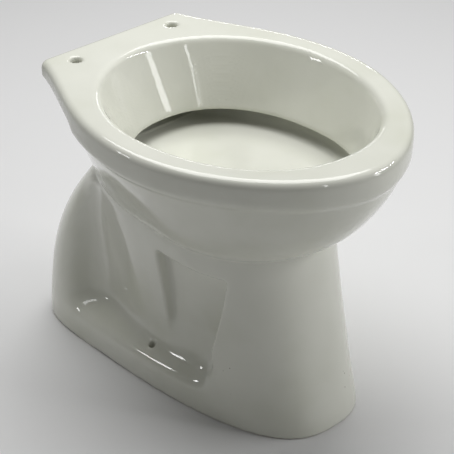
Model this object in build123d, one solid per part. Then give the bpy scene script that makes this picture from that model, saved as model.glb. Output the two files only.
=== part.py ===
from build123d import *
import math
import os

# Floor-standing toilet pan of vitreous china, flat-flush type with an upright outlet inside the foot.
# Millimetres. Z is up, the floor is z = 0, the front is towards -Y, and x = 0 is the plane of symmetry.
# Lengths along the pan are measured forwards from the rear edge of the deck, and turned into Y by place().

# Overall sizes
HEIGHT = 390.0
RIM_LENGTH = 474.0
RIM_HALF_WIDTH = 184.5
FOOT_BEHIND_DECK = 60.0
WALL = 11.0

# Rim and deck
BAND_HEIGHT = 38.0
TOP_THICKNESS = 12.0
TOP_ROUNDING = 9.0
BAND_ROUNDING = 7.0
RIM_LEG = 9.5
RING_WIDEST = 250.0
RING_REAR = 18.0
RING_FRONT_POWER = 1.8
RING_REAR_POWER = 2.2
DECK_HALF_WIDTH = 114.0
DECK_CORNER = 13.0
DECK_THICKNESS = 24.0
DECK_WAIST = 46.0
DECK_WAIST_HALF_WIDTH = 127.0
DECK_END = 128.0
SKIRT_DEPTH = 86.0
SKIRT_WALL = 9.5
OPENING_HALF_WIDTH = 151.5
OPENING_WIDEST = 229.0
OPENING_FRONT = 424.5
OPENING_REAR = 60.5
OPENING_FRONT_POWER = 2.1
OPENING_REAR_POWER = 1.9
LIP_HALF_WIDTH = 117.0
LIP_WIDEST = 262.0
LIP_FRONT = 393.0
LIP_REAR = 104.0
LIP_FRONT_POWER = 2.1
LIP_REAR_POWER = 2.25
SEAT_HOLE_SPACING = 155.0
SEAT_HOLE_FROM_REAR = 32.0
SEAT_HOLE_DIAMETER = 15.0

# Bowl
NECK_HEIGHT = 236.0
NECK_HALF_WIDTH = 108.5
NECK_WIDEST = 236.0
NECK_FRONT = 369.5
NECK_REAR = 13.0
NECK_FRONT_POWER = 2.1
NECK_REAR_POWER = 2.37
HULL_FRONT_POWER = 1.33
HULL_REAR_POWER = 0.9
SHELF_DEPTH = 105.0
BASIN_CURVE = 18.0
SUMP_HALF_WIDTH = 66.0
SUMP_HALF_LENGTH = 56.0
SUMP_SHIFT = 16.0

# Trap and outlet
TRAP_BORE = 75.0
TRAP_WALL = 9.0
TRAP_BEND = 55.0
SUMP_FROM_REAR = 300.0
SUMP_THROAT = 36.0
TRAP_DROP = 55.0
TRAP_RISE = 15.0
TRAP_TAIL = 48.0
TRAP_CLEARANCE = 6.0
OUTLET_BOTTOM = 6.0
OUTLET_OUTER = 102.0
OUTLET_BORE = 84.0
OUTLET_CHAMFER = 4.0

# Flush inlet
INLET_BORE = 55.0
INLET_OUTER = 70.0
INLET_LENGTH = 22.0
INLET_DEPTH = 76.0
INLET_FACE = 14.0
INLET_CHAMFER = 2.0
INLET_STOP = 3.0
SPREADER_WIDTH = 64.0
SPREADER_DROP = 86.0
SPREADER_GAP = 4.0
SPREADER_SWEEP = 4.0
SPREADER_THICKNESS = 7.0

# Foot
FOOT_HALF_WIDTH = 118.5
FOOT_WIDEST = 60.0
FOOT_FRONT = 421.0
FOOT_FRONT_POWER = 2.8
FOOT_REAR_POWER = 3.3
TOE_POWER = 1.33
HEEL_POWER = 3.1
FLANGE_HEIGHT = 44.0
WAIST_HEIGHT = 100.0
COLUMN_REAR_LOW = 286.0
COLUMN_REAR_HIGH = 326.0
COLUMN_HOOK = 14.0
SCOOP_LEAN = 23.0
SCOOP_STATIONS = (250, 200, 140, 90)
NICHE_CORNER = 3.0
WING_HALF_WIDTH = 84.0
WING_FRONT = 48.0
WING_EDGE = 18.0
NICHE_REAR = 208.0
NICHE_STEP = 13.0
FLOOR_HOLE_X = 95.0
FLOOR_HOLE_FROM_REAR = 183.0
FLOOR_HOLE_DIAMETER = 9.0
BOSS_DIAMETER = 28.0

MIDDLE = (RIM_LENGTH - FOOT_BEHIND_DECK) / 2
SEAM = HEIGHT - BAND_HEIGHT
ROOF = HEIGHT - TOP_THICKNESS
LIP = HEIGHT - SKIRT_DEPTH
SHELF = HEIGHT - SHELF_DEPTH
INLET_HEIGHT = HEIGHT - INLET_DEPTH
TRAP_TOP = NECK_HEIGHT - SUMP_THROAT
LOW_BEND = TRAP_TOP - TRAP_DROP
HIGH_BEND = LOW_BEND + TRAP_RISE
OUTLET_TOP = HIGH_BEND - TRAP_TAIL
OUTLET_FROM_REAR = SUMP_FROM_REAR - 4 * TRAP_BEND
REACH = 200.0
OVAL_POINTS = 24


def place(distance):
    """Y of a point that lies this far in front of the deck's rear edge."""
    return MIDDLE - distance


def oval(half_width, widest, front, rear, front_power, rear_power, grow=0.0):
    """Points of an egg-shaped outline, anticlockwise from its front end, with its own power for each end."""
    points = []
    for index in range(OVAL_POINTS):
        angle = 2 * math.pi * index / OVAL_POINTS - math.pi / 2
        across, along = math.cos(angle), math.sin(angle)
        exponent = front_power if along < 0 else rear_power
        length = (front - widest if along < 0 else widest - rear) + grow
        reach = (abs(across) ** exponent + abs(along) ** exponent) ** (-1 / exponent)
        points.append(((half_width + grow) * across * reach, place(widest) + length * along * reach))
    return points


def ring_outline(grow=0.0):
    return oval(RIM_HALF_WIDTH, RING_WIDEST, RIM_LENGTH, RING_REAR, RING_FRONT_POWER, RING_REAR_POWER, grow)


def band_outline():
    """Lower half of the rim, which leaves the deck's plan and runs round under it."""
    rear = RING_REAR + BAND_ROUNDING
    return oval(RIM_HALF_WIDTH, RING_WIDEST, RIM_LENGTH, rear, RING_FRONT_POWER, RING_REAR_POWER)


def neck_outline(grow=0.0):
    return oval(NECK_HALF_WIDTH, NECK_WIDEST, NECK_FRONT, NECK_REAR, NECK_FRONT_POWER, NECK_REAR_POWER, grow)


def neck_width(distance):
    """Half width of the neck at a distance from the rear edge, behind its widest place."""
    along = max(NECK_WIDEST - distance, 0) / (NECK_WIDEST - NECK_REAR)
    return NECK_HALF_WIDTH * (1 - along ** NECK_REAR_POWER) ** (1 / NECK_REAR_POWER)


def foot_outline(grow=0.0):
    return oval(FOOT_HALF_WIDTH, FOOT_WIDEST, FOOT_FRONT, -FOOT_BEHIND_DECK, FOOT_FRONT_POWER,
                FOOT_REAR_POWER, grow)


def opening_outline(grow=0.0):
    return oval(OPENING_HALF_WIDTH, OPENING_WIDEST, OPENING_FRONT, OPENING_REAR, OPENING_FRONT_POWER,
                OPENING_REAR_POWER, grow)


def lip_outline(grow=0.0):
    return oval(LIP_HALF_WIDTH, LIP_WIDEST, LIP_FRONT, LIP_REAR, LIP_FRONT_POWER, LIP_REAR_POWER, grow)


def smooth_face(points, z):
    """Face inside a closed curve. Even parameters keep the sections of a loft in step with each other."""
    steps = [index / len(points) for index in range(len(points) + 1)]
    return make_face(Edge.make_spline([(x, y, z) for x, y in points], periodic=True, parameters=steps))


def circle_points(distance, radius):
    return oval(radius, distance, distance + radius, distance - radius, 2, 2)


def prism(points, low, high):
    return extrude(smooth_face(points, low), high - low, dir=(0, 0, 1))


def blend(first, second, front_share, rear_share):
    """A section between two outlines, with its own share of the second one at the front and at the rear."""
    points = []
    for index, (a, b) in enumerate(zip(first, second)):
        to_rear = (1 - math.cos(2 * math.pi * index / OVAL_POINTS)) / 2
        share = front_share + (rear_share - front_share) * to_rear
        points.append((a[0] + (b[0] - a[0]) * share, a[1] + (b[1] - a[1]) * share))
    return points


def deck_face(inset, z):
    """Plan of the whole top: the deck's straight rear edge and the oval of the rim in one outline."""
    half = DECK_HALF_WIDTH - inset
    rear = place(inset)
    corner = DECK_CORNER - inset * 0.5
    turn = corner * (1 - math.sqrt(0.5))
    ring = [point for point in ring_outline(-inset) if point[1] < place(DECK_END)]
    ring.sort(key=lambda point: math.atan2(point[0], place(RING_WIDEST) - point[1]))
    waist = (DECK_WAIST_HALF_WIDTH - inset, place(DECK_WAIST))
    points = [(-half, rear - corner), (-waist[0], waist[1])] + ring + [waist, (half, rear - corner)]
    side = Spline([(x, y, z) for x, y in points])
    left = ThreePointArc((-half, rear - corner, z), (-half + turn, rear - turn, z), (-half + corner, rear, z))
    right = ThreePointArc((half, rear - corner, z), (half - turn, rear - turn, z), (half - corner, rear, z))
    back = Line((-half + corner, rear, z), (half - corner, rear, z))
    return make_face([side, left, right, back])


def rim_and_deck():
    body = extrude(deck_face(0, SEAM), BAND_HEIGHT, dir=(0, 0, 1))
    body = fillet(body.faces().sort_by(Axis.Z)[-1].edges(), TOP_ROUNDING)
    body = fillet(body.faces().sort_by(Axis.Z)[0].edges(), BAND_ROUNDING)
    under = Pos(0, place(DECK_END - REACH), (SEAM + HEIGHT - DECK_THICKNESS) / 2) * Box(
        2 * REACH, 2 * REACH, BAND_HEIGHT - DECK_THICKNESS)
    band = prism(band_outline(), SEAM - 1, HEIGHT)
    body -= under - band
    pocket = extrude(deck_face(WALL, HEIGHT - DECK_THICKNESS), DECK_THICKNESS - TOP_THICKNESS, dir=(0, 0, 1))
    body -= pocket - band
    body -= prism(ring_outline(-BAND_ROUNDING - RIM_LEG), SEAM, ROOF)
    skirt = loft([smooth_face(lip_outline(SKIRT_WALL), LIP), smooth_face(opening_outline(SKIRT_WALL), HEIGHT)])
    skirt = split(skirt, Plane.XY.offset(ROOF), keep=Keep.BOTTOM)
    body += skirt
    body -= loft([smooth_face(lip_outline(), LIP), smooth_face(opening_outline(), HEIGHT)])
    inner_edge = body.faces().filter_by(Plane.XY).sort_by(Axis.Z)[-1].inner_wires()[0].edges()
    body = fillet(inner_edge, TOP_ROUNDING)
    for side in (-1, 1):
        x = side * SEAT_HOLE_SPACING / 2
        body -= Pos(x, place(SEAT_HOLE_FROM_REAR), HEIGHT) * Cylinder(SEAT_HOLE_DIAMETER / 2, 4 * DECK_THICKNESS)
    return body


def hull_outline(z, grow=0.0):
    """Outside of the bowl at a height between the neck and the seam under the rim."""
    depth = (SEAM - z) / (SEAM - NECK_HEIGHT)
    front = 1 - (1 - depth ** HULL_FRONT_POWER) ** (1 / HULL_FRONT_POWER)
    rear = 1 - (1 - depth ** HULL_REAR_POWER) ** (1 / HULL_REAR_POWER)
    return blend(ring_outline(-BAND_ROUNDING + grow), neck_outline(grow), front, rear)


def hull(grow, low, high, steps):
    heights = [low + (high - low) * step / steps for step in range(steps + 1)]
    return loft([smooth_face(hull_outline(z, grow), z) for z in heights])


def sump(grow, bottom):
    radius = TRAP_BORE / 2
    mouth = oval(SUMP_HALF_WIDTH, SUMP_FROM_REAR + SUMP_SHIFT, SUMP_FROM_REAR + SUMP_SHIFT + SUMP_HALF_LENGTH,
                 SUMP_FROM_REAR + SUMP_SHIFT - SUMP_HALF_LENGTH, 2, 2, grow)
    throat = circle_points(SUMP_FROM_REAR, radius + grow)
    return prism(throat, bottom, NECK_HEIGHT) + loft([smooth_face(throat, NECK_HEIGHT), smooth_face(mouth, SHELF)])


def bowl():
    body = hull(0, NECK_HEIGHT, SEAM, 4)
    basin_low = SHELF + BASIN_CURVE
    basin = hull(-WALL, basin_low, SEAM, 2)
    edge = hull_outline(basin_low, -WALL)
    middle = hull_outline(basin_low, -WALL - BASIN_CURVE * 0.45)
    floor_line = hull_outline(basin_low, -WALL - BASIN_CURVE * 1.65)
    middle_height = SHELF + BASIN_CURVE / 3
    basin += loft([smooth_face(floor_line, SHELF), smooth_face(middle, middle_height), smooth_face(edge, basin_low)])
    body -= basin
    body -= hull(-WALL, NECK_HEIGHT, SHELF - WALL, 2)
    body += sump(TRAP_WALL, TRAP_TOP)
    body -= sump(0, TRAP_TOP)
    body += along_y(INLET_OUTER / 2, RING_REAR + 2 * WALL, INLET_FACE) - basin
    return body - along_y(INLET_BORE / 2 - INLET_STOP, RING_REAR + 3 * WALL, INLET_FACE)


def along_y(radius, front, rear):
    """A cylinder at the height of the flush inlet, between two distances from the rear edge."""
    return Pos(0, place((front + rear) / 2), INLET_HEIGHT) * Rot(90, 0, 0) * Cylinder(radius, front - rear)


def flush_inlet():
    rear = INLET_FACE - INLET_LENGTH
    spigot = along_y(INLET_OUTER / 2, INLET_FACE, rear) - along_y(INLET_BORE / 2, INLET_FACE, rear)
    return chamfer(spigot.faces().sort_by(Axis.Y)[-1].edges(), INLET_CHAMFER)


def water_spreader():
    """A V-shaped baffle that hangs from the roof of the rim channel in front of the flush inlet."""
    half = SPREADER_WIDTH / 2
    rear = RING_REAR + BAND_ROUNDING + RIM_LEG + SPREADER_GAP
    nose = (0, place(rear))
    left = (-half, place(rear + SPREADER_SWEEP))
    right = (half, place(rear + SPREADER_SWEEP))
    inner = (0, place(rear + SPREADER_THICKNESS))
    inner_left = (-half, place(rear + SPREADER_SWEEP + SPREADER_THICKNESS))
    inner_right = (half, place(rear + SPREADER_SWEEP + SPREADER_THICKNESS))
    plan = make_face(Polyline(nose, left, inner_left, inner, inner_right, right, close=True))
    return Pos(0, 0, ROOF - SPREADER_DROP) * extrude(plan, SPREADER_DROP)


def trap_path():
    """Centre line of the trap: down from the sump, up behind the water seal, over the weir and down."""
    first = place(SUMP_FROM_REAR)
    second = first + 2 * TRAP_BEND
    third = second + 2 * TRAP_BEND
    down = Line((0, first, TRAP_TOP), (0, first, LOW_BEND))
    lowest = (0, first + TRAP_BEND, LOW_BEND - TRAP_BEND)
    seal = ThreePointArc((0, first, LOW_BEND), lowest, (0, second, LOW_BEND))
    rise = Line((0, second, LOW_BEND), (0, second, HIGH_BEND))
    highest = (0, second + TRAP_BEND, HIGH_BEND + TRAP_BEND)
    weir = ThreePointArc((0, second, HIGH_BEND), highest, (0, third, HIGH_BEND))
    drop = Line((0, third, HIGH_BEND), (0, third, OUTLET_TOP))
    return Wire([down, seal, rise, weir, drop])


def trap():
    path = trap_path()
    start = Plane(origin=path @ 0, z_dir=path % 0)
    outside = sweep(start * Circle(TRAP_BORE / 2 + TRAP_WALL), path)
    return outside - sweep(start * Circle(TRAP_BORE / 2), path)


def outlet_horn():
    height = OUTLET_TOP - OUTLET_BOTTOM
    centre = Pos(0, place(OUTLET_FROM_REAR), OUTLET_BOTTOM + height / 2)
    horn = centre * Cylinder(OUTLET_OUTER / 2, height)
    horn = chamfer(horn.faces().sort_by(Axis.Z)[0].edges(), OUTLET_CHAMFER)
    return horn - centre * Cylinder(OUTLET_BORE / 2, height)


def foot_section(z, grow=0.0):
    """Outside of the pedestal at a height, before the scoops are cut from its sides."""
    down = 1 - z / NECK_HEIGHT
    return blend(neck_outline(grow), foot_outline(grow), down ** TOE_POWER, 1 - (1 - down) ** HEEL_POWER)


def pedestal_solid(grow):
    heights = [0, FLANGE_HEIGHT, WAIST_HEIGHT, above_waist(0.45), above_waist(0.75), NECK_HEIGHT]
    return loft([smooth_face(foot_section(z, grow), z) for z in heights])


def above_waist(share):
    return WAIST_HEIGHT + (NECK_HEIGHT - WAIST_HEIGHT) * share


def lean(distance):
    """How far the scooped wall leans in at the waist. At the rear it just clears the outlet inside."""
    rear_lean = neck_width(OUTLET_FROM_REAR) - OUTLET_OUTER / 2 - TRAP_CLEARANCE - WALL
    forwards = (distance - OUTLET_FROM_REAR) / (NICHE_REAR - OUTLET_FROM_REAR)
    return rear_lean + (SCOOP_LEAN - rear_lean) * min(max(forwards, 0), 1)


def column_rear(z):
    """Distance of the front column's sharp rear edge, which slopes forwards as it rises."""
    up = (z - FLANGE_HEIGHT) / (NECK_HEIGHT - FLANGE_HEIGHT)
    return COLUMN_REAR_LOW + (COLUMN_REAR_HIGH - COLUMN_REAR_LOW) * up


def scoop_section(z, share, grow):
    """Plan of one side scoop. The share of the lean sets how deep it goes, and grow thickens what stays."""
    column = column_rear(z) + grow
    wall = [(neck_width(distance) - lean(distance) * share - grow, place(distance)) for distance in SCOOP_STATIONS]
    front = (wall[0][0] - COLUMN_HOOK, place(column))
    wing = (WING_HALF_WIDTH - lean(WING_FRONT) * share * 0.4, place(WING_FRONT - grow))
    edge = place(WING_EDGE - grow)
    bend = (FOOT_HALF_WIDTH, edge - 0.4 * (WING_FRONT - WING_EDGE))
    outer = (REACH, edge)
    inner = Spline([(x, y, z) for x, y in [front] + wall + [wing, bend, outer]])
    far = Line((REACH, edge, z), (REACH, place(column), z))
    cheek = Line((REACH, place(column), z), (front[0], place(column), z))
    return make_face([inner, far, cheek])


def scoop(grow):
    """One side scoop, on the right, with the flat top of the floor flange as its bottom."""
    levels = [(FLANGE_HEIGHT - grow, 0.95), (WAIST_HEIGHT, 0.85), (above_waist(0.45), 0.45),
              (above_waist(0.77), 0.15), (NECK_HEIGHT + 6, -0.05)]
    return loft([scoop_section(z, share, grow) for z, share in levels])


def niche(grow):
    """The deeper niche in the scoop, just behind the front column, on the right."""
    top = above_waist(0.77)
    sections = []
    for z, share, step in ((FLANGE_HEIGHT + 12, 0.94, -0.2), (WAIST_HEIGHT, 0.85, 0.8), (above_waist(0.45), 0.45, 1.1),
                           (top, 0.15, 1.1)):
        wall = neck_width(NICHE_REAR) - lean(NICHE_REAR) * share - NICHE_STEP * step - grow
        front = place(column_rear(z) - NICHE_CORNER + grow)
        rear = place(NICHE_REAR - grow)
        height = z + grow if z == top else z
        corners = [(wall, rear, height), (wall - WALL, front, height), (REACH, front, height), (REACH, rear, height)]
        sections.append(make_face(Polyline(*corners, close=True)))
    return loft(sections, ruled=True)


def pedestal():
    """The right half is cut and hollowed, then mirrored, so that both sides come out the same."""
    side = Pos(REACH, 0, NECK_HEIGHT / 2) * Box(2 * REACH, 4 * REACH, 2 * NECK_HEIGHT)
    half = (pedestal_solid(0) & side) - scoop(0) - niche(0)
    half -= (pedestal_solid(-WALL) & side) - scoop(WALL) - niche(WALL)
    body = half + mirror(half, Plane.YZ)
    boss_height = FLANGE_HEIGHT - WALL / 2
    for x in (-FLOOR_HOLE_X, FLOOR_HOLE_X):
        spot = (x, place(FLOOR_HOLE_FROM_REAR))
        body += Pos(*spot, boss_height / 2) * Cylinder(BOSS_DIAMETER / 2, boss_height)
        body -= Pos(*spot, 0) * Cylinder(FLOOR_HOLE_DIAMETER / 2, 4 * FLANGE_HEIGHT)
    return body


parts = {
    "rim_and_deck": rim_and_deck,
    "bowl": bowl,
    "pedestal": pedestal,
    "trap": trap,
    "outlet_horn": outlet_horn,
    "flush_inlet": flush_inlet,
    "water_spreader": water_spreader,
}

os.makedirs("parts", exist_ok=True)
for name, make in parts.items():
    solid = make()
    print(name, len(solid.solids()), round(solid.volume / 1000), "cm3", solid.is_valid)
    export_step(solid, f"parts/{name}.step")
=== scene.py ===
import math
import time

import bmesh
import bpy
import numpy as np
import openvdb
from mathutils import Matrix, Vector


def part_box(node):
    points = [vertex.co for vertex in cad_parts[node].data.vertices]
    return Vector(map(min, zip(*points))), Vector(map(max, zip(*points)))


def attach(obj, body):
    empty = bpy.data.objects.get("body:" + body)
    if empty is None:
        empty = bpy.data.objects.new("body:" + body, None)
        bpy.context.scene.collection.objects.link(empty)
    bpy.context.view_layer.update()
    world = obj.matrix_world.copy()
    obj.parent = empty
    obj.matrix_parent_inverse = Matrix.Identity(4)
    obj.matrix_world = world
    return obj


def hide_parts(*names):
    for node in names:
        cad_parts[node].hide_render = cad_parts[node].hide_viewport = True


# Glazed toilet pan. The castings of the CAD frame are joined into one distance field, softened as thick glaze
# softens them, and cut apart again along the planes where the castings meet. Metres, +Z up, front towards -Y.

# Distance field
VOXEL = 0.002
BAND = 7
EDGE_SOFTNESS = 0.0022
NICHE_SOFTNESS = 0.0032
HULL_SOFTNESS = 0.0050
WING_SOFTNESS = 0.0120
SKIN_TOP = 0.378
NECK_FADE = (0.205, 0.232)
HULL_FADE = (0.245, 0.285)
BAND_FADE = (0.374, 0.364)
WING_FADE = (0.004, 0.050)
FLANGE_FADE = (0.100, 0.060)
INLET_FADE_Y = (0.115, 0.140)
INLET_FADE_X = (0.085, 0.065)
INLET_BOTTOM = 0.270
SPREADER = "water_spreader"
SPREADER_SOFTNESS = 0.0012
FLOOR_HOLE_X = 0.095
FLOOR_HOLE_Y = 0.024
FLOOR_HOLE_RADIUS = 0.0045
FLOOR_HOLE_TOP = 0.105

# Camera, as fitted to the photograph: degrees, metres, and pixels of an image 454 pixels wide
IMAGE = 454
VIEW_AZIMUTH = -42.46
VIEW_ELEVATION = 32.2
VIEW_ROLL = -0.16
VIEW_DISTANCE = 1.871
VIEW_TARGET = Vector((0, -0.023, 0.19))
FOCAL_PIXELS = 1498.4
CENTRE_X = 231.6
CENTRE_Y = 237.0


def node_field(node, low, shape):
    """Signed distance to one casting on the shared grid, negative inside."""
    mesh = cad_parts[node].data
    mesh.calc_loop_triangles()
    points = np.zeros(len(mesh.vertices) * 3, np.float32)
    mesh.vertices.foreach_get("co", points)
    corners = np.zeros(len(mesh.loop_triangles) * 3, np.int32)
    mesh.loop_triangles.foreach_get("vertices", corners)
    grid = openvdb.FloatGrid.createLevelSetFromPolygons(
        points.reshape(-1, 3), triangles=corners.reshape(-1, 3).astype(np.uint32),
        transform=openvdb.createLinearTransform(VOXEL), halfWidth=BAND)
    field = np.full(shape, BAND * VOXEL, np.float32)
    grid.copyToArray(field, ijk=low)
    return field


def blur(field, distance):
    """Gaussian blur over a distance in metres, one axis at a time."""
    sigma = distance / VOXEL
    reach = max(1, math.ceil(2.5 * sigma))
    weights = [math.exp(-0.5 * (step / sigma) ** 2) for step in range(-reach, reach + 1)]
    for axis in range(3):
        around = [(reach, reach) if a == axis else (0, 0) for a in range(3)]
        padded = np.pad(field, around, mode="edge")
        field = np.zeros_like(field)
        for index, weight in enumerate(weights):
            part = [slice(None)] * 3
            part[axis] = slice(index, index + field.shape[axis])
            field += padded[tuple(part)] * np.float32(weight / sum(weights))
    return field


def fade(positions, start, end):
    """0 before start, 1 after end, and a smooth step between them. It also runs backwards."""
    share = np.clip((positions - start) / (end - start), 0, 1)
    return (share * share * (3 - 2 * share)).astype(np.float32)


def enclosed(empty):
    """Empty cells that no flood in their own level reaches from outside."""
    outside = np.zeros_like(empty)
    outside[0], outside[-1], outside[:, 0], outside[:, -1] = True, True, True, True
    while True:
        before = outside.sum()
        for axis in (0, 1):
            for turned in (outside, outside[::-1, ::-1]):
                space = empty if turned is outside else empty[::-1, ::-1]
                for index in range(1, empty.shape[axis]):
                    here, last = (index, index - 1) if axis == 0 else ((slice(None), index), (slice(None), index - 1))
                    turned[here] |= turned[last] & space[here]
        if outside.sum() == before:
            return empty & ~outside


def grown(mask, cells):
    """A mask spread over its neighbours."""
    for _ in range(cells):
        wide = mask.copy()
        wide[1:] |= mask[:-1]
        wide[:-1] |= mask[1:]
        wide[:, 1:] |= mask[:, :-1]
        wide[:, :-1] |= mask[:, 1:]
        wide[:, :, 1:] |= mask[:, :, :-1]
        wide[:, :, :-1] |= mask[:, :, 1:]
        mask = wide
    return mask


def rounded(solid, distance):
    """Distance field of a solid share with its edges and corners rounded over about twice the distance."""
    return (0.5 - blur(solid, distance)) * np.float32(distance * math.sqrt(2 * math.pi))


def glaze_field(fields, low):
    """All castings as one field, softened. The outer skin of the hull and of the foot is rounded much more."""
    field = np.minimum.reduce(fields)
    soft = blur(field, EDGE_SOFTNESS)
    x, y, z = ((np.arange(size) + start) * VOXEL for size, start in zip(field.shape, low))
    top = int(np.searchsorted(z, SKIN_TOP))
    body, calm, z = field[:, :, :top], soft[:, :, :top], z[:top]
    inlet = fade(y, *INLET_FADE_Y)[None, :, None] * fade(np.abs(x), *INLET_FADE_X)[:, None, None]
    plug = np.broadcast_to(inlet > 0.5, body.shape) & (z > INLET_BOTTOM)
    inside = enclosed((body > 0) & ~plug)
    outside = (body > 0) & ~inside & (z > 0)
    lining = inside | grown(inside, 2) & ~grown(outside, 3)
    solid = np.clip(0.5 - body / VOXEL, 0, 1)
    solid[lining] = 1
    solid[:, :, z < 0] = solid[:, :, [int(np.searchsorted(z, 0)) + 1]]
    fine, middle, broad = (rounded(solid, distance) for distance in (NICHE_SOFTNESS, HULL_SOFTNESS, WING_SOFTNESS))
    rear = fade(y, *WING_FADE)[None, :, None]
    base = fade(z, *FLANGE_FADE)[None, None, :]
    foot = fine + (broad - fine) * (1 - (1 - rear) * (1 - base))
    hull = middle + (calm - middle) * inlet
    in_foot = 1 - fade(z, *NECK_FADE)
    in_hull = fade(z, *HULL_FADE) * fade(z, *BAND_FADE)
    outer = calm + (foot - calm) * in_foot + (hull - calm) * in_hull
    outer = np.maximum(outer, np.where(lining | plug, calm, -BAND * VOXEL))
    outer = np.maximum(outer, -z)
    for side in (-1, 1):
        across = x[:, None, None] - side * FLOOR_HOLE_X
        along = y[None, :, None] - FLOOR_HOLE_Y
        hole = FLOOR_HOLE_RADIUS - np.sqrt(across ** 2 + along ** 2)
        outer = np.maximum(outer, np.minimum(hole, FLOOR_HOLE_TOP - z))
    result = soft.copy()
    result[:, :, :top] = outer
    return result.astype(np.float32)


def sample(field, points, low):
    """Trilinear value of a field at points in metres."""
    place = points / VOXEL - np.array(low)
    base = np.clip(np.floor(place).astype(int), 0, np.array(field.shape) - 2)
    part = place - base
    value = np.zeros(len(points))
    for corner in np.ndindex(2, 2, 2):
        weight = np.ones(len(points))
        for axis in range(3):
            weight *= part[:, axis] if corner[axis] else 1 - part[:, axis]
        at = base + np.array(corner)
        value += weight * field[at[:, 0], at[:, 1], at[:, 2]]
    return value


def skin(field, low):
    """The surface of the field as a mesh."""
    grid = openvdb.FloatGrid(BAND * VOXEL)
    grid.transform = openvdb.createLinearTransform(VOXEL)
    grid.copyFromArray(field, ijk=low)
    points, triangles, quads = grid.convertToPolygons(isovalue=0.0, adaptivity=0.0)
    mesh = bpy.data.meshes.new("skin")
    mesh.from_pydata(points, [], triangles.tolist() + quads.tolist())
    return mesh


def seam_planes():
    """Height of each level seam, and the upright seam of the flush inlet, as a point and a normal."""
    planes = [(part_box(name)[1], Vector((0, 0, 1)))
              for name in ("bowl", "pedestal", "trap", "outlet_horn")]
    planes.append((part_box("flush_inlet")[0], Vector((0, 1, 0))))
    return planes


def cut_at_seams(mesh, planes):
    """Adds an edge loop along each seam plane, and returns the patch number of each face between the loops."""
    work = bmesh.new()
    work.from_mesh(mesh)
    for point, normal in planes:
        geometry = work.verts[:] + work.edges[:] + work.faces[:]
        bmesh.ops.bisect_plane(work, geom=geometry, plane_co=point, plane_no=normal, dist=VOXEL * 0.02)
    work.to_mesh(mesh)
    work.free()
    points = values(mesh.vertices, "co", 3, np.float64)
    edges = values(mesh.edges, "vertices", 2, np.int32)
    wall = np.zeros(len(edges), bool)
    for point, normal in planes:
        near = np.abs((points - np.array(point)) @ np.array(normal)) < VOXEL * 0.03
        wall |= near[edges].all(axis=1)
    corners = values(mesh.loops, "edge_index", 1, np.int32)
    totals = values(mesh.polygons, "loop_total", 1, np.int32)
    face_of_corner = np.repeat(np.arange(len(totals)), totals)
    order = np.argsort(corners, kind="stable")
    same = corners[order][1:] == corners[order][:-1]
    first, second = face_of_corner[order][:-1][same], face_of_corner[order][1:][same]
    shared = corners[order][1:][same]
    first, second = first[~wall[shared]], second[~wall[shared]]
    patch = np.arange(len(totals))
    while True:
        lower = np.minimum(patch[first], patch[second])
        before = patch.copy()
        np.minimum.at(patch, first, lower)
        np.minimum.at(patch, second, lower)
        patch = patch[patch]
        if (patch == before).all():
            return np.unique(patch, return_inverse=True)[1]


def values(collection, name, width, kind):
    found = np.zeros(len(collection) * width, kind)
    collection.foreach_get(name, found)
    return found.reshape(-1, width) if width > 1 else found


def piece_mesh(node, mesh, chosen, planes):
    """The chosen faces of the skin as a closed mesh of their own."""
    work = bmesh.new()
    work.from_mesh(mesh)
    work.faces.ensure_lookup_table()
    strange = [work.faces[index] for index in np.flatnonzero(~chosen)]
    bmesh.ops.delete(work, geom=strange, context="FACES")
    for point, normal in planes:
        border = [edge for edge in work.edges if edge.is_boundary
                  and all(abs((vert.co - point).dot(normal)) < VOXEL * 0.05 for vert in edge.verts)]
        if border:
            bmesh.ops.triangle_fill(work, use_beauty=False, use_dissolve=False, edges=border, normal=normal)
    print(node, "open edges", sum(edge.is_boundary for edge in work.edges))
    bmesh.ops.recalc_face_normals(work, faces=work.faces)
    for face in work.faces:
        face.smooth = True
    piece = bpy.data.meshes.new(node)
    work.to_mesh(piece)
    work.free()
    return piece


def clock(text, began=[time.time()]):
    print(text, round(time.time() - began[0], 1), "s", flush=True)


def castings():
    """Replaces every CAD node by its share of the softened skin."""
    boxes = [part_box(name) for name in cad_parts]
    lowest = [min(box[0][axis] for box in boxes) for axis in range(3)]
    highest = [max(box[1][axis] for box in boxes) for axis in range(3)]
    margin = BAND + 1
    low = tuple(int(math.floor(value / VOXEL)) - margin for value in lowest)
    high = tuple(int(math.ceil(value / VOXEL)) + margin for value in highest)
    shape = tuple(b - a + 1 for a, b in zip(low, high))
    names = [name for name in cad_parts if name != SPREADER]
    fields = [node_field(name, low, shape) for name in names]
    field = glaze_field(fields, low)
    mesh = skin(field, low)
    planes = seam_planes()
    patch = cut_at_seams(mesh, planes)
    centres = values(mesh.polygons, "center", 3, np.float32)
    nearest = np.argmin([sample(own, centres, low) for own in fields], axis=0)
    votes = np.zeros((patch.max() + 1, len(names)))
    np.add.at(votes, (patch, nearest), 1)
    owner = votes.argmax(axis=1)[patch]
    slopes = np.gradient(field)
    for index, name in enumerate(names):
        dress(name, piece_mesh(name, mesh, owner == index, planes), slopes, low)
    spreader = blur(node_field(SPREADER, low, shape), SPREADER_SOFTNESS)
    mesh = skin(spreader, low)
    dress(SPREADER, piece_mesh(SPREADER, mesh, np.ones(len(mesh.polygons), bool), []), np.gradient(spreader), low)


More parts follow.
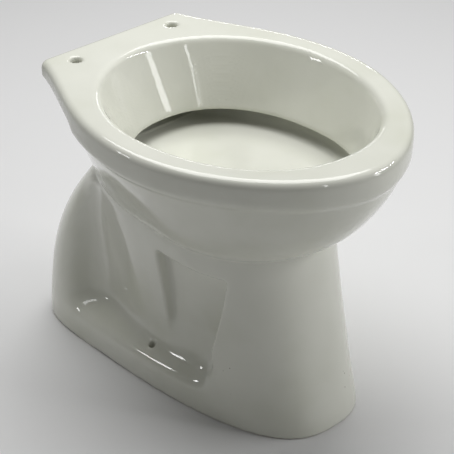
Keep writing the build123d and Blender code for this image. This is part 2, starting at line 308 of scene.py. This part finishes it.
def dress(name, piece, slopes, low):
    """Shows a mesh in place of a CAD node, shaded by the slope of the field that it was drawn from."""
    points = values(piece.vertices, "co", 3, np.float32)
    normals = np.stack([sample(slope, points, low) for slope in slopes], axis=1)
    normals /= np.linalg.norm(normals, axis=1, keepdims=True) + 1e-9
    piece.normals_split_custom_set_from_vertices(normals.tolist())
    piece.materials.append(glaze)
    thing = bpy.data.objects.new("glazed_" + name, piece)
    bpy.context.scene.collection.objects.link(thing)
    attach(thing, "root")
    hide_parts(name)
    print(name, len(piece.polygons), "faces")


def node(tree, kind, **settings):
    made = tree.nodes.new(kind)
    for key, value in settings.items():
        if hasattr(made, key):
            setattr(made, key, value)
        else:
            made.inputs[key.replace("_", " ")].default_value = value
    return made


def ramp(tree, source, stops):
    """A colour ramp from (position, colour) stops."""
    made = tree.nodes.new("ShaderNodeValToRGB")
    made.color_ramp.elements[0].position, made.color_ramp.elements[0].color = stops[0]
    made.color_ramp.elements[1].position, made.color_ramp.elements[1].color = stops[-1]
    for position, colour in stops[1:-1]:
        made.color_ramp.elements.new(position).color = colour
    tree.links.new(source, made.inputs["Fac"])
    return made.outputs["Color"]


def mix(tree, factor, first, second, blend="MIX"):
    made = tree.nodes.new("ShaderNodeMix")
    made.data_type = "RGBA"
    made.blend_type = blend
    for socket, value in ((made.inputs[0], factor), (made.inputs[6], first), (made.inputs[7], second)):
        if isinstance(value, (tuple, float, int)):
            socket.default_value = value
        else:
            tree.links.new(value, socket)
    return made.outputs[2]


GLAZE = (0.735, 0.742, 0.665, 1)
GLAZE_THICK = (0.69, 0.70, 0.61, 1)
GLAZE_THIN = (0.77, 0.775, 0.70, 1)
BISQUE = (0.78, 0.74, 0.66, 1)
SPECK = (0.25, 0.23, 0.17, 1)


def glaze_material():
    """Glossy cream glaze: faint clouds, slightly wavy gloss, rare specks and an unglazed foot ring."""
    material = bpy.data.materials.new("glaze")
    material.use_nodes = True
    tree = material.node_tree
    shader = tree.nodes["Principled BSDF"]
    place = tree.nodes.new("ShaderNodeTexCoord").outputs["Object"]

    clouds = node(tree, "ShaderNodeTexNoise", Scale=9.0, Detail=3.0, Roughness=0.5)
    tree.links.new(place, clouds.inputs["Vector"])
    body = ramp(tree, clouds.outputs["Fac"], [(0.3, GLAZE_THICK), (0.5, GLAZE), (0.72, GLAZE_THIN)])

    specks = node(tree, "ShaderNodeTexVoronoi", Scale=95.0)
    tree.links.new(place, specks.inputs["Vector"])
    rare = node(tree, "ShaderNodeTexNoise", Scale=14.0, Detail=2.0)
    tree.links.new(place, rare.inputs["Vector"])
    spot = ramp(tree, specks.outputs["Distance"], [(0.05, (1, 1, 1, 1)), (0.09, (0, 0, 0, 1))])
    where = ramp(tree, rare.outputs["Fac"], [(0.68, (0, 0, 0, 1)), (0.74, (1, 1, 1, 1))])
    both = mix(tree, 1.0, spot, where, "MULTIPLY")
    colour = mix(tree, both, body, SPECK)

    height = tree.nodes.new("ShaderNodeSeparateXYZ")
    tree.links.new(place, height.inputs[0])
    ring = node(tree, "ShaderNodeMapRange", interpolation_type="SMOOTHSTEP")
    for index, value in enumerate((0.0006, 0.0022, 1.0, 0.0)):
        ring.inputs[index + 1].default_value = value
    tree.links.new(height.outputs["Z"], ring.inputs["Value"])
    colour = mix(tree, ring.outputs["Result"], colour, BISQUE)
    tree.links.new(colour, shader.inputs["Base Color"])

    smear = node(tree, "ShaderNodeTexNoise", Scale=22.0, Detail=4.0)
    tree.links.new(place, smear.inputs["Vector"])
    gloss = node(tree, "ShaderNodeMapRange")
    for index, value in enumerate((0.3, 0.75, 0.02, 0.055)):
        gloss.inputs[index + 1].default_value = value
    tree.links.new(smear.outputs["Fac"], gloss.inputs["Value"])
    rough = tree.nodes.new("ShaderNodeMath")
    rough.operation = "MAXIMUM"
    tree.links.new(gloss.outputs["Result"], rough.inputs[0])
    dull = tree.nodes.new("ShaderNodeMath")
    dull.operation = "MULTIPLY"
    dull.inputs[1].default_value = 0.75
    tree.links.new(ring.outputs["Result"], dull.inputs[0])
    tree.links.new(dull.outputs[0], rough.inputs[1])
    tree.links.new(rough.outputs[0], shader.inputs["Roughness"])

    ripples = node(tree, "ShaderNodeTexNoise", Scale=34.0, Detail=1.0)
    tree.links.new(place, ripples.inputs["Vector"])
    bump = node(tree, "ShaderNodeBump", Strength=0.35, Distance=0.0004)
    tree.links.new(ripples.outputs["Fac"], bump.inputs["Height"])
    tree.links.new(bump.outputs["Normal"], shader.inputs["Normal"])
    shader.inputs["IOR"].default_value = 1.52
    shader.inputs["Subsurface Weight"].default_value = 0.0
    return material


def light(name, place, target, size, power):
    lamp = bpy.data.lights.new(name, "AREA")
    lamp.shape = "RECTANGLE"
    lamp.size, lamp.size_y = size
    lamp.energy = power
    thing = bpy.data.objects.new(name, lamp)
    bpy.context.scene.collection.objects.link(thing)
    thing.location = place
    thing.rotation_euler = (Vector(target) - Vector(place)).to_track_quat("-Z", "Y").to_euler()
    return thing


# Name, place, what it points at, size and watts of each lamp
LAMPS = (
    ("ceiling", (0.3, 0.5, 1.9), (0, 0.1, 0.2), (1.5, 1.5), 32),
    ("right_strip", (1.35, -1.2, 1.35), (0, 0, 0.35), (1.2, 0.05), 11),
    ("rear_strip", (1.5, 1.35, 0.90), (0, 0, 0.35), (0.8, 0.05), 1.6),
    ("front_right", (1.0, -1.8, 0.9), (0, 0, 0.2), (0.25, 0.8), 4),
    ("left_window", (-1.5, 1.1, 1.0), (0, 0, 0.2), (0.3, 0.2), 2.5),
    ("front_panel", (-0.5, -1.8, 1.1), (0, 0, 0.25), (0.08, 0.6), 1.0),
)


def studio():
    """A pale floor, an even pale sky and soft lamps."""
    plane = bmesh.new()
    bmesh.ops.create_grid(plane, x_segments=1, y_segments=1, size=6)
    ground = bpy.data.meshes.new("floor")
    plane.to_mesh(ground)
    plane.free()
    floor = bpy.data.objects.new("floor", ground)
    floor.location = (0, 0, -0.0005)
    bpy.context.scene.collection.objects.link(floor)
    material = bpy.data.materials.new("floor")
    material.use_nodes = True
    material.node_tree.nodes["Principled BSDF"].inputs["Base Color"].default_value = (0.75, 0.75, 0.75, 1)
    material.node_tree.nodes["Principled BSDF"].inputs["Roughness"].default_value = 0.9
    ground.materials.append(material)

    world = bpy.data.worlds.new("studio")
    world.use_nodes = True
    world.node_tree.nodes["Background"].inputs["Color"].default_value = (1.0, 1.0, 0.985, 1)
    world.node_tree.nodes["Background"].inputs["Strength"].default_value = 0.09
    bpy.context.scene.world = world

    lamps = [light(*lamp) for lamp in LAMPS]
    bpy.context.scene.view_settings.view_transform = "Standard"


def photo_camera():
    """The camera of the photograph."""
    azimuth, elevation, roll = (math.radians(angle) for angle in (VIEW_AZIMUTH, VIEW_ELEVATION, VIEW_ROLL))
    back = Vector((math.sin(azimuth) * math.cos(elevation), -math.cos(azimuth) * math.cos(elevation),
                   math.sin(elevation)))
    right = Vector((math.cos(azimuth), math.sin(azimuth), 0))
    up = back.cross(right)
    across = right * math.cos(roll) + up * math.sin(roll)
    upright = up * math.cos(roll) - right * math.sin(roll)
    data = bpy.data.cameras.new("photo")
    data.lens = data.sensor_width * FOCAL_PIXELS / IMAGE
    data.shift_x = (IMAGE / 2 - CENTRE_X) / IMAGE
    data.shift_y = (CENTRE_Y - IMAGE / 2) / IMAGE
    camera = bpy.data.objects.new("photo", data)
    camera.matrix_world = Matrix((across, upright, back)).transposed().to_4x4()
    camera.location = VIEW_TARGET + back * VIEW_DISTANCE
    bpy.context.scene.collection.objects.link(camera)
    bpy.context.scene.camera = camera


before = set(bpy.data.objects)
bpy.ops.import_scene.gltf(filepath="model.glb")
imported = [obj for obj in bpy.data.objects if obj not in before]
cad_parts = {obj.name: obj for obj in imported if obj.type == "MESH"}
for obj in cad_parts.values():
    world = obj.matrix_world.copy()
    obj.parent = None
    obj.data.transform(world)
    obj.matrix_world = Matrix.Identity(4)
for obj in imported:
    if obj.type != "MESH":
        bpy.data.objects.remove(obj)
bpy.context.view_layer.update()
glaze = glaze_material()
castings()
studio()
photo_camera()
bpy.context.view_layer.update()
